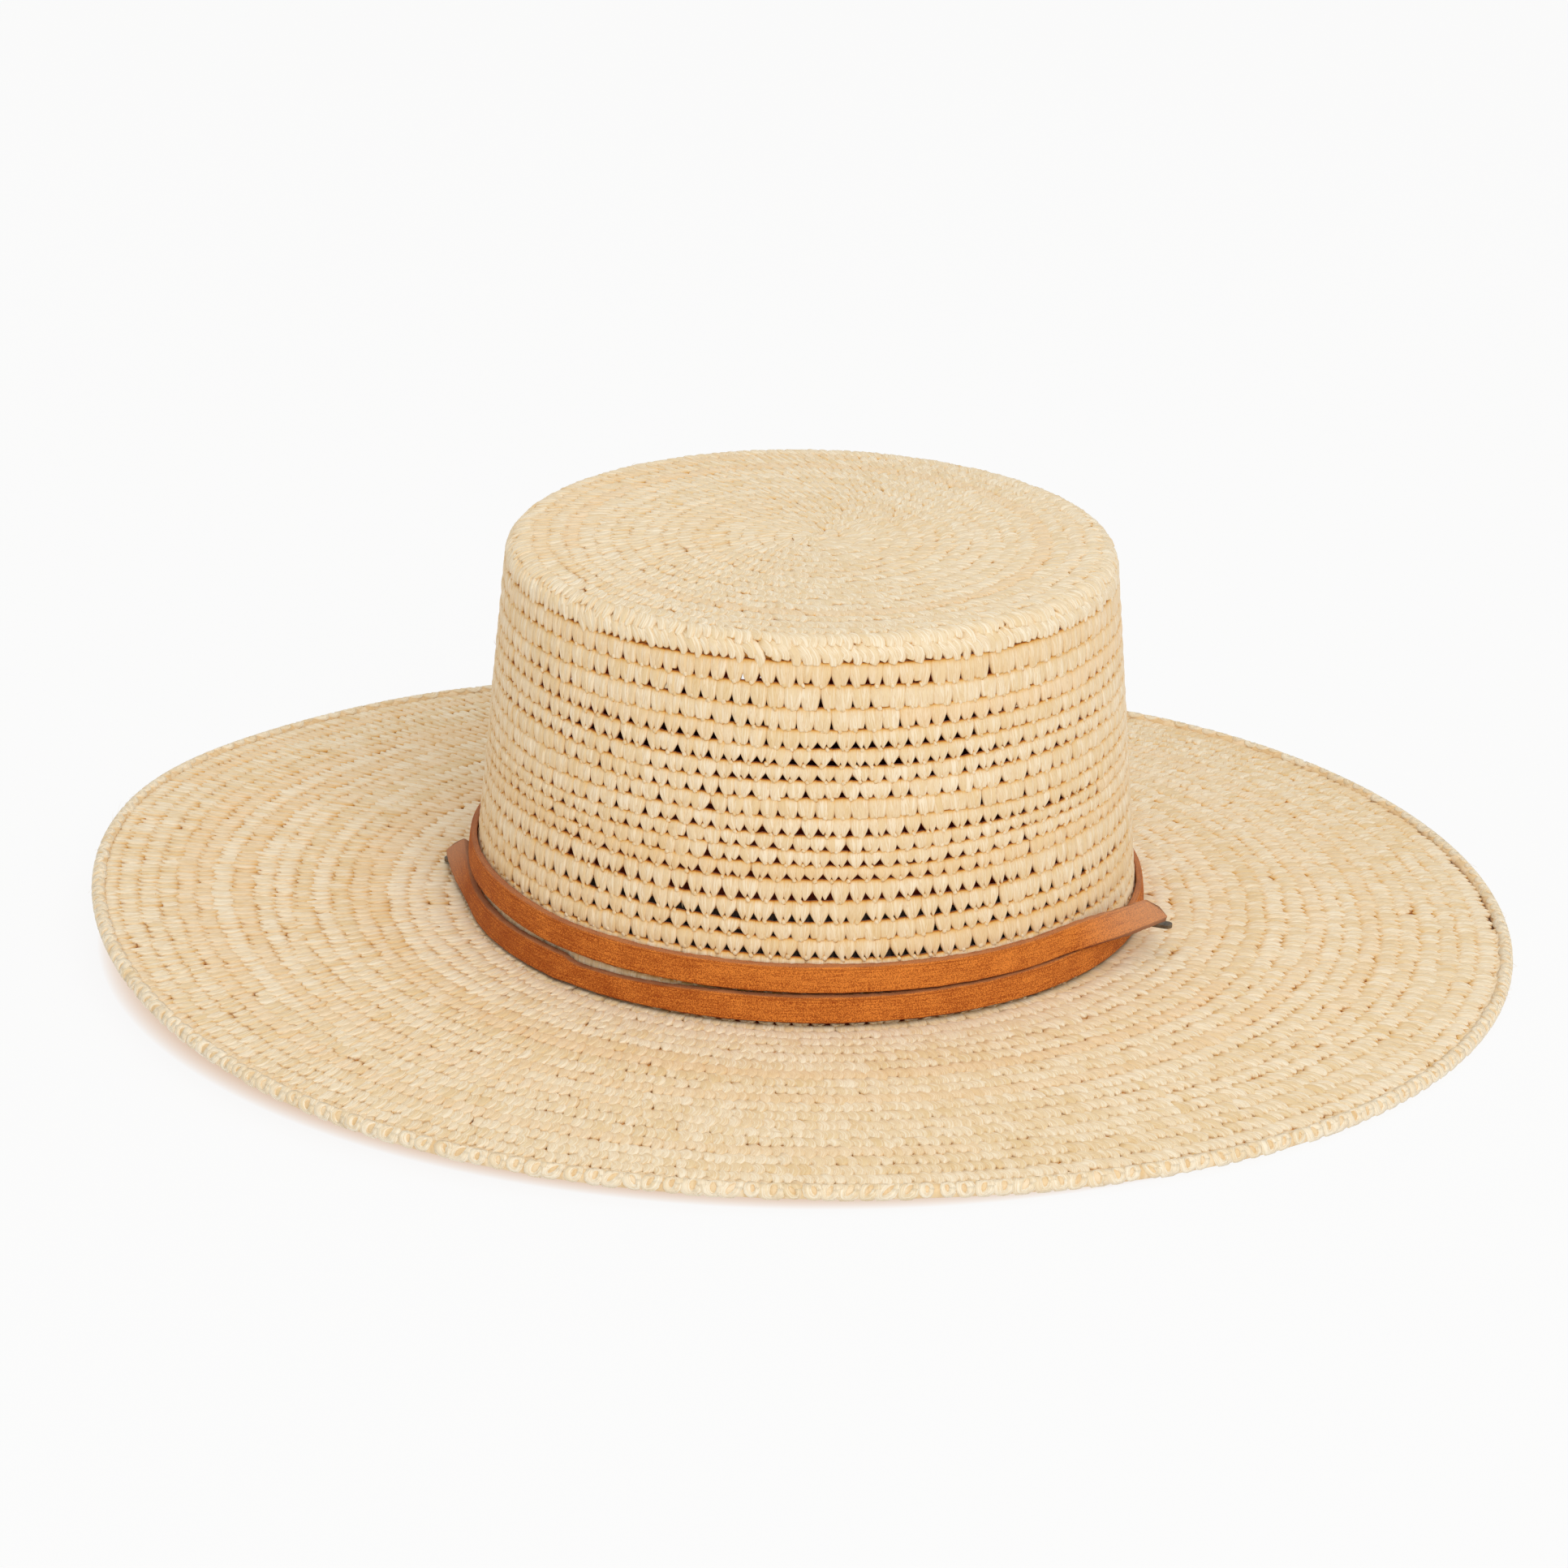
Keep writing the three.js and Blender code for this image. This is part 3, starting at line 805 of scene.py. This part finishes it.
def metal_material():
    """Dull steel with fine scratches."""
    m = Nodes("steel")
    place = m.add("ShaderNodeTexCoord").outputs["Object"]
    scratches = m.noise(m.scaled(place, (1400.0, 1400.0, 260.0)), 1.0, 3.0)
    stains = m.noise(place, 420.0, 3.0)
    colour = m.mixed(m.spread(stains, 0.3, 0.7), (0.09, 0.07, 0.05, 1), (0.24, 0.20, 0.155, 1))
    bump = (scratches, 0.3, 0.05 * MM)
    return m.surface(colour, m.spread(scratches, 0.3, 0.7, 0.32, 0.5), bump, {"Metallic": 0.9})


def ribbon_material():
    """Dark ribbed ribbon."""
    m = Nodes("ribbon")
    grain = m.grain()
    place = m.scaled(grain, (0.15, 1.0, 1.0))
    inputs = {"Vector": place, "Scale": 0.32, "Distortion": 0.4, "Detail": 1.0}
    wave = m.add("ShaderNodeTexWave", inputs, wave_type="BANDS", bands_direction="Y")
    ribs = wave.outputs["Fac"]
    yarn = m.noise(grain, 5.0, 2.0)
    raised = m.spread(ribs, 0.0, 1.0, 0.2, 1.0)
    colour = m.mixed(raised, (0.018, 0.010, 0.006, 1), (0.075, 0.042, 0.024, 1))
    colour = m.mixed(m.maths("MULTIPLY", yarn, 0.3), colour, (0.12, 0.08, 0.05, 1))
    bump = (ribs, 0.6, 0.2 * MM)
    return m.surface(colour, m.spread(yarn, 0.3, 0.7, 0.7, 0.9), bump, {"Sheen Weight": 0.15})


GLOW_STARTS = 0.172  # metres out from the hat's middle; the floor shines except under the hat, where it has a painted shadow
GLOW_FULL = 0.1965


def floor_material():
    """A plain white floor that shines faintly, with a painted warm shadow under the hat, where its
    glow fades and its colour turns brown.
    """
    m = Nodes("pale_floor")
    place = m.add("ShaderNodeTexCoord").outputs["Object"]
    mottle = m.noise(place, 3.0, 2.0)
    colour = m.mixed(mottle, (0.058, 0.058, 0.058, 1), (0.062, 0.062, 0.062, 1))
    m.feed(m.shader, "Roughness", 0.95)
    m.feed(m.shader, "Specular IOR Level", 0.0)
    # The painted shadow's oval, set a little off the hat's middle.
    oval = m.scaled(place, (1.0, 1.07, 1.0), (2.5 * MM, 1 * MM, 0.0))
    from_hat = m.add("ShaderNodeVectorMath", {0: oval}, operation="LENGTH").outputs["Value"]
    glow = m.spread(from_hat, GLOW_STARTS, GLOW_FULL)
    # Painted warm shadow: brown colour and no glow under the hat, white glow outside it.
    m.feed(m.shader, "Base Color", m.mixed(glow, (0.60, 0.40, 0.26, 1), colour))
    # The glow turns warm at the painted shadow's rim.
    whiteness = m.maths("POWER", glow, 3.0)
    m.feed(m.shader, "Emission Color", m.mixed(whiteness, (1.0, 0.70, 0.46, 1), (1.0, 1.0, 1.0, 1)))
    m.feed(m.shader, "Emission Strength", m.maths("MULTIPLY", glow, 0.91))
    return m.material


# ---- the leather strap ----

STRAP_HALF_WIDTH = 3.8 * MM
STRAP_EASE = 0.1 * MM  # how far the cut edges are rounded back
STRAP_BEVEL = 0.4 * MM  # the cut slants, so the flesh side is a little wider
STRAP_BACK = 0.4 * MM  # the flesh side is pulled against the straw
STRAP_HALF_THICK = 0.8 * MM
# Places along the strap are degrees round the crown's axis, past one turn for the upper lap.
STRAP_START = 171.5
STRAP_END = 698.5
START_LEAVES = 187  # the ends run straight on from here, clear of the crown
END_LEAVES = 676
STRAP_GAP = 0.6 * MM
STRAP_CREASE = 228  # a fold across the lower lap, from which its upper edge is pulled down
STRAP_LEAN = 42  # degrees by which the ends lie back
STRAP_LEAN_REACH = 22
START_CUT, END_CUT = 0.9, -1.0  # how much the ends' cuts slant, and to which side
CUT_SLANT, CUT_LIMIT = 1.1, 1.2
CUT_FADES = 3
STRAP_RAGGED = 0.08 * MM
STRAP_PULL = 1.3 * MM
STRAP_BULGE = 0.6 * MM
STRAP_CUPPING = 0.1 * MM
LEFT_PAINTED_SHADE = 0.38  # the leather has painted shade at the left, which faces away from the key lamp, and is lighter on the upper lap
UPPER_LIGHTER = 0.1
UPPER_LAP = 500
STRAP_HEIGHTS = [  # degrees and mm
    (171.5, 15.3), (200, 14.2), (270, 14.7), (360, 14.2), (450, 18.3), (540, 24.5),
    (565, 24.4), (590, 23.4), (630, 23.1), (680, 22.3), (698.5, 22.2),
]
WALL_SLOPE = math.atan2(FOOT_RADIUS - HEAD_RADIUS, WALL_HEAD - FOOT)


def eased(share):
    """Runs from 0 to 1 with a slow start and a slow end."""
    share = np.clip(share, 0, 1)
    return share * share * (3 - 2 * share)


def strap_height(degrees):
    """Eases between the heights that the CAD strap passes through."""
    height = np.full(degrees.shape, STRAP_HEIGHTS[0][1])
    for (angle, low), (next_angle, high) in zip(STRAP_HEIGHTS, STRAP_HEIGHTS[1:]):
        share = eased((degrees - angle) / (next_angle - angle))
        height = np.where(degrees >= angle, low + (high - low) * share, height)
    return height * MM


def strap_middle(degrees):
    """Radius, height and lean of the strap's middle."""
    height = strap_height(degrees)
    to_end = np.minimum(degrees - STRAP_START, STRAP_END - degrees)
    lean = np.radians(STRAP_LEAN) * (1 - eased(to_end / STRAP_LEAN_REACH))
    clear = STRAP_HALF_WIDTH * np.sin(lean) + STRAP_HALF_THICK * np.cos(lean)
    past = np.maximum(np.maximum(START_LEAVES - degrees, degrees - END_LEAVES), 0)
    stand_off = FOOT_RADIUS * (1 / np.cos(np.radians(past)) - 1)
    wall = FOOT_RADIUS - (height - FOOT) * math.tan(WALL_SLOPE)
    return wall + STRAP_GAP + clear + stand_off, height, lean


FACE_CORNERS = 11  # the section's corners before this one are on the outer face


def strap_section():
    """Corners of the strap's section: across the width, through the thickness, and edge."""
    corners = []
    for side in (1, -1):
        for across in np.linspace(-0.9, 0.9, 9) * side:
            corners.append((across, side * (1 - 0.10 * across**2), 0.0))
        corners.append((0.97 * side, side * 0.72, 0.6))
        corners.append((1.0 * side, side * 0.3, 1.0))
        corners.append((1.0 * side, -side * 0.3, 1.0))
        corners.append((0.97 * side, -side * 0.72, 0.6))
    corners = np.array(corners)
    at_back_edge = (corners[:, 1] < 0) & (np.abs(corners[:, 0]) > 0.95)
    corners[at_back_edge, 0] *= 1 + STRAP_BEVEL / STRAP_HALF_WIDTH
    corners[at_back_edge, 2] = 1.0
    return corners


def leather_strap(material):
    """One flat strip, with its ends cut at a slant and its edges a little rough."""
    stations = 620
    degrees = np.linspace(STRAP_START, STRAP_END, stations)
    section = strap_section()
    across, through, cut = section.T
    to_start, to_end = degrees - STRAP_START, STRAP_END - degrees
    start_cut = START_CUT * np.exp(-to_start / CUT_FADES)
    end_cut = END_CUT * np.exp(-to_end / CUT_FADES)
    shift = CUT_SLANT * across * (start_cut + end_cut)[:, None]
    place = degrees[:, None] + np.clip(shift, -CUT_LIMIT, CUT_LIMIT)
    place = np.clip(place, STRAP_START, STRAP_END)
    radius, height, lean = strap_middle(place)
    lean = lean + WALL_SLOPE
    wobble = np.sin(degrees * 0.35) + 0.6 * np.sin(degrees * 0.83 + 1) + 0.5 * np.sin(degrees * 1.7)
    ragged = STRAP_RAGGED * rng.normal(0, 1, (stations, len(section))) * cut
    past_crease = degrees - STRAP_CREASE
    fold = np.exp(-(((past_crease[:, None] - 3 * across) / 1.5) ** 2))
    bulge = STRAP_BULGE * fold * (across < 0.95)
    pull = eased((past_crease + 2) / 4) * (1 - eased((past_crease - 6) / 24))
    wide = (STRAP_HALF_WIDTH - STRAP_EASE) * across + ragged
    wide = wide + 0.05 * MM * wobble[:, None] * np.sign(across) * cut
    wide = wide - STRAP_PULL * pull[:, None] * np.clip(across, 0, 1) ** 1.5
    thick = STRAP_HALF_THICK * through + bulge * (through > 0) - STRAP_BACK * (through < 0)
    out = thick - STRAP_CUPPING * (across**2)[None, :]
    point_radius = radius + out * np.cos(lean) - wide * np.sin(lean)
    point_height = height + wide * np.cos(lean) + out * np.sin(lean)
    angle = np.radians(place)
    points = round_axis(angle, point_radius, point_height)
    shape = points.shape[:2]
    # Painted sheen where the ends lean back to face up; nap here is that painted sheen.
    nap = np.clip((np.degrees(lean) - 8) / 40, 0, 1)
    # Painted shade on the leather at the left of the crown.
    left = LEFT_PAINTED_SHADE * np.clip(-np.cos(angle), 0, 1) ** 1.2
    upper = UPPER_LIGHTER * (degrees > UPPER_LAP)[:, None]
    # A painted highlight on the upper cut edges.
    highlit_top_edge = cut * (across > 0)
    nap = np.clip(nap + 0.5 * highlit_top_edge, 0, 1)
    # The lower cut edges get more painted shade than the upper ones.
    looks = together(shape, 0.5 - left + upper, nap, cut * np.where(across > 0, 0.3, 0.9))
    grain = together(shape, wide / MM, angle * 98, through * 2)
    share = (place - STRAP_START) / (STRAP_END - STRAP_START)
    lane = np.where(np.arange(len(section)) < FACE_CORNERS, 0.25, 0.75)
    sheet = in_rows(8, share, share[:, :1], lane + 0.2 * across + 0.02 * through)
    strap = Straws()
    strap.add(points[None], looks[None], grain[None], sheet[None])
    return strap.piece("strap_leather", material)


# ---- sweatband ----


def sweatband(material):
    """A ribbon sewn inside the foot of the crown, with rolled edges."""
    low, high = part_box("sweatband")
    stations = 721
    angle = np.linspace(0, TURN, stations)
    corners = np.linspace(0, TURN, 17)[:-1]
    across = np.sign(np.cos(corners)) * np.abs(np.cos(corners)) ** 0.35
    through = np.sign(np.sin(corners)) * np.abs(np.sin(corners)) ** 0.6
    middle = (low.z + high.z) / 2
    half_height = (high.z - low.z) / 2 - 0.1 * MM
    ripple = 0.25 * MM * np.sin(angle * 23) * np.sin(angle * 5 + 1)
    height = middle + half_height * across[None, :] * np.ones((stations, 1))
    inside = FOOT_RADIUS - STRAW - (height - FOOT) * math.tan(WALL_SLOPE)
    pinch = np.clip((height - middle) / half_height, 0, 1)
    radius = inside - 0.85 * MM + 0.38 * MM * through - np.abs(ripple)[:, None] * pinch
    turned = np.broadcast_to(angle[:, None], height.shape)
    points = round_axis(turned, radius, height)
    shape = points.shape[:2]
    looks = np.zeros(shape + (3,))
    grain = together(shape, (height - middle) / MM, turned * 91, 0)
    lane = np.where(through < 0, 0.27, 0.73)
    place = in_rows(8, turned / TURN, turned / TURN, lane + 0.2 * across)
    band = Straws()
    band.add(points[None], looks[None], grain[None], place[None])
    return band.piece("sweatband_ribbon", material)


def join_tape(material):
    """The short ribbon over the sweatband's join, thinner toward its four edges."""
    low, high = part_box("sweatband_join_tape")
    columns, rows = 15, 25
    u, v = np.meshgrid(np.linspace(-1, 1, columns), np.linspace(-1, 1, rows), indexing="ij")
    edge = np.maximum(np.abs(u), np.abs(v))
    thick = 0.34 * MM * (1 - edge**6)
    half_width = (high.x - low.x) / 2
    lean = math.tan(WALL_SLOPE)
    height = (low.z + high.z) / 2 + v * (high.z - low.z) / 2
    middle = (low.y + high.y) / 2 - v * (high.z - low.z) / 2 * lean * 0.98
    bow = 0.15 * MM * np.sin(v * 3)
    front, back = (
        np.stack([u * half_width, middle + bow + side * thick, height], axis=-1) for side in (1, -1)
    )
    loop = np.concatenate([front, back[:, ::-1]], axis=1)
    shape = loop.shape[:2]
    grain = together(shape, loop[..., 2] / MM, loop[..., 0] / MM, 0)
    along = 0.5 + 0.45 * np.linspace(-1, 1, columns)[:, None]
    place = together(shape, along, np.linspace(0.03, 0.97, shape[1]))
    tape = Straws()
    tape.add(loop[None], np.zeros(shape + (3,))[None], grain[None], place[None])
    return tape.piece("sweatband_tape", material)


# ---- loose fibres ----


FIBRES = 260
FIBRE_RADIUS = 0.07 * MM
FIBRE_TURN_RADIUS = 90 * MM  # turns a length along the round into an angle


def loose_fibres(material):
    """Fine ends of raffia that stand out of the edge and the rounds."""
    count, stations = FIBRES, 5
    band = Straws()
    at_edge = rng.random(count) < 0.5
    angle = rng.random(count) * TURN
    depth = np.where(at_edge, ROUND_STARTS[-1] + 2 * MM, rng.uniform(0.02, ROUND_STARTS[-1], count))
    share = np.linspace(0, 1, stations)
    reach = rng.uniform(1.2, 4.2, count)[:, None] * MM
    swing = rng.normal(0, 1.0, count)[:, None]
    a = reach * share * swing * 0.8 / FIBRE_TURN_RADIUS
    b = reach * share * np.where(at_edge, 0.8, rng.normal(0, 0.6, count))[:, None]
    lift = np.where(at_edge, 0.2, 0.5)[:, None] * reach * share * (1.3 - 0.6 * share)
    lift = lift + 0.6 * MM
    corners = DIAMOND_SECTION * FIBRE_RADIUS
    thin = (1 - 0.8 * share)[None, :, None]
    points = on_straw(
        (angle[:, None] + a)[..., None] + corners[:, 0] * thin / FIBRE_TURN_RADIUS,
        (depth[:, None] + b)[..., None] + 0 * thin,
        lift[..., None] + corners[:, 1] * thin,
    )
    shape = points.shape[:3]
    # A little painted shade on the fibres.
    looks = together(shape, 0.7, 0, 0.2)
    grain = np.zeros(shape + (3,))
    place = together(shape, *(rng.random(count)[:, None, None] for _ in range(2)))
    band.add(points, looks, grain, place)
    return band.piece("loose_fibres", material)


# ---- floor, light and camera ----


FLOOR_SIDE = 18.0
LIGHT_SURROUND = (1.0, 0.975, 0.92, 1), 0.66  # colour and strength as a light
SEEN_SURROUND = (1.0, 1.0, 1.0, 1), 0.955  # colour and strength as the camera sees it
THROUGH_STRAW_WATTS = 0.055
THROUGH_STRAW_COLOUR = (1.0, 0.2, 0.08)


def floor(material):
    """A wide plain floor under the hat."""
    bpy.ops.mesh.primitive_plane_add(size=FLOOR_SIDE, location=(0, 0, 0))
    plane = bpy.context.object
    plane.name = "floor"
    plane.data.materials.append(material)


def soft_light(name, place, size, watts, colour):
    """A large square lamp aimed at the middle of the hat."""
    lamp = bpy.data.lights.new(name, "AREA")
    lamp.size = size
    lamp.energy = watts
    lamp.color = colour
    holder = placed(name, lamp)
    holder.location = place
    aim = cad_low.lerp(cad_high, 0.5) - holder.location
    holder.rotation_euler = aim.to_track_quat("-Z", "Y").to_euler()


def light_through_straw():
    """The little brown light that comes through the straw, on the inside of the crown."""
    lamp = bpy.data.lights.new("through_straw", "SPOT")
    lamp.energy = THROUGH_STRAW_WATTS
    lamp.color = THROUGH_STRAW_COLOUR
    lamp.spot_size = math.radians(165)
    lamp.spot_blend = 0.4
    lamp.shadow_soft_size = 30 * MM
    holder = placed("through_straw", lamp)
    holder.location = (0, 0, FOOT)
    holder.rotation_euler = (math.pi, 0, 0)
    holder.visible_camera = False


def studio():
    """An even pale surround, white where the camera sees it, and two broad lamps above."""
    world = bpy.data.worlds.new("studio")
    world.use_nodes = True
    nodes, links = world.node_tree.nodes, world.node_tree.links
    surround = nodes["Background"]
    backdrop = nodes.new("ShaderNodeBackground")
    for node, (colour, strength) in ((surround, LIGHT_SURROUND), (backdrop, SEEN_SURROUND)):
        node.inputs["Color"].default_value = colour
        node.inputs["Strength"].default_value = strength
    seen = nodes.new("ShaderNodeMixShader")
    links.new(nodes.new("ShaderNodeLightPath").outputs["Is Camera Ray"], seen.inputs[0])
    links.new(surround.outputs[0], seen.inputs[1])
    links.new(backdrop.outputs[0], seen.inputs[2])
    links.new(seen.outputs[0], nodes["World Output"].inputs["Surface"])
    bpy.context.scene.world = world
    soft_light("key", (0.6, -1.7, 1.45), size=1.1, watts=18.5, colour=(0.98, 0.99, 1.0))
    soft_light("top", (0, 0.2, 2.4), size=1.6, watts=7.2, colour=(0.97, 0.985, 1.0))
    light_through_straw()
    bpy.context.scene.view_settings.view_transform = "Standard"
    bpy.context.scene.view_settings.look = "None"


LENS, SENSOR = 114.04, 36  # mm
CAMERA_PLACE = (-6.4 * MM, -1300 * MM, 549 * MM)
PITCH, ROLL = 0.372, 0.020  # radians down, and round the line of sight


def camera():
    """The photograph's view: from in front and a little above, far off with a long lens."""
    data = bpy.data.cameras.new("camera")
    data.sensor_width = SENSOR
    data.lens = LENS
    holder = placed("camera", data)
    holder.location = CAMERA_PLACE
    turned = Matrix.Rotation(math.pi / 2 - PITCH, 4, "X") @ Matrix.Rotation(ROLL, 4, "Z")
    holder.rotation_euler = turned.to_euler()
    bpy.context.scene.camera = holder


# ---- the hat ----


def settle(piece, slot, *nodes):
    """Puts a piece on the hat's one body and hides the CAD nodes that it stands for."""
    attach(piece, "root")
    if nodes:
        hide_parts(*nodes)


def build():
    """Makes every piece of the hat."""
    straw = straw_material()
    leather = leather_material()
    steel = metal_material()
    ribbon = ribbon_material()

    tip_starts = [0, 13, WALL_TURN]
    wall_starts = [WALL_TURN + rounds for rounds in (0, 5, 10, 15)] + [BRIM_TURN]
    brim_starts = [BRIM_TURN + rounds for rounds in (0, 5, 9, 13, 16)] + [LAST_TURN]
    for name, node, starts, style, core_share in (
        ("tip", "crown_tip", tip_starts, TIP_STYLE, (-0.05, 1.05)),
        ("wall", "crown_wall", wall_starts, WALL_STYLE, (0.0, 0.6)),
        ("brim", "brim", brim_starts, BRIM_STYLE, (-0.05, 1.05)),
    ):
        for part, (first, last) in enumerate(zip(starts, starts[1:]), start=1):
            band = band_of_rounds(f"{name}_rounds_{part}", first, last, style, core_share, straw)
            settle(band, "straw", node)
    settle(edge_round(straw), "straw", "brim_edge_round")
    settle(loose_fibres(straw), "straw")
    settle(leather_strap(leather), "leather", "leather_strap")
    settle(sweatband(ribbon), "ribbon", "sweatband")
    settle(join_tape(ribbon), "ribbon", "sweatband_join_tape")
    for name in ("brim_wire", "wire_sleeve", "strap_pin_left", "strap_pin_right"):
        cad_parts[name].data.materials.clear()
        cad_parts[name].data.materials.append(steel)


camera()
studio()
floor(floor_material())
build()
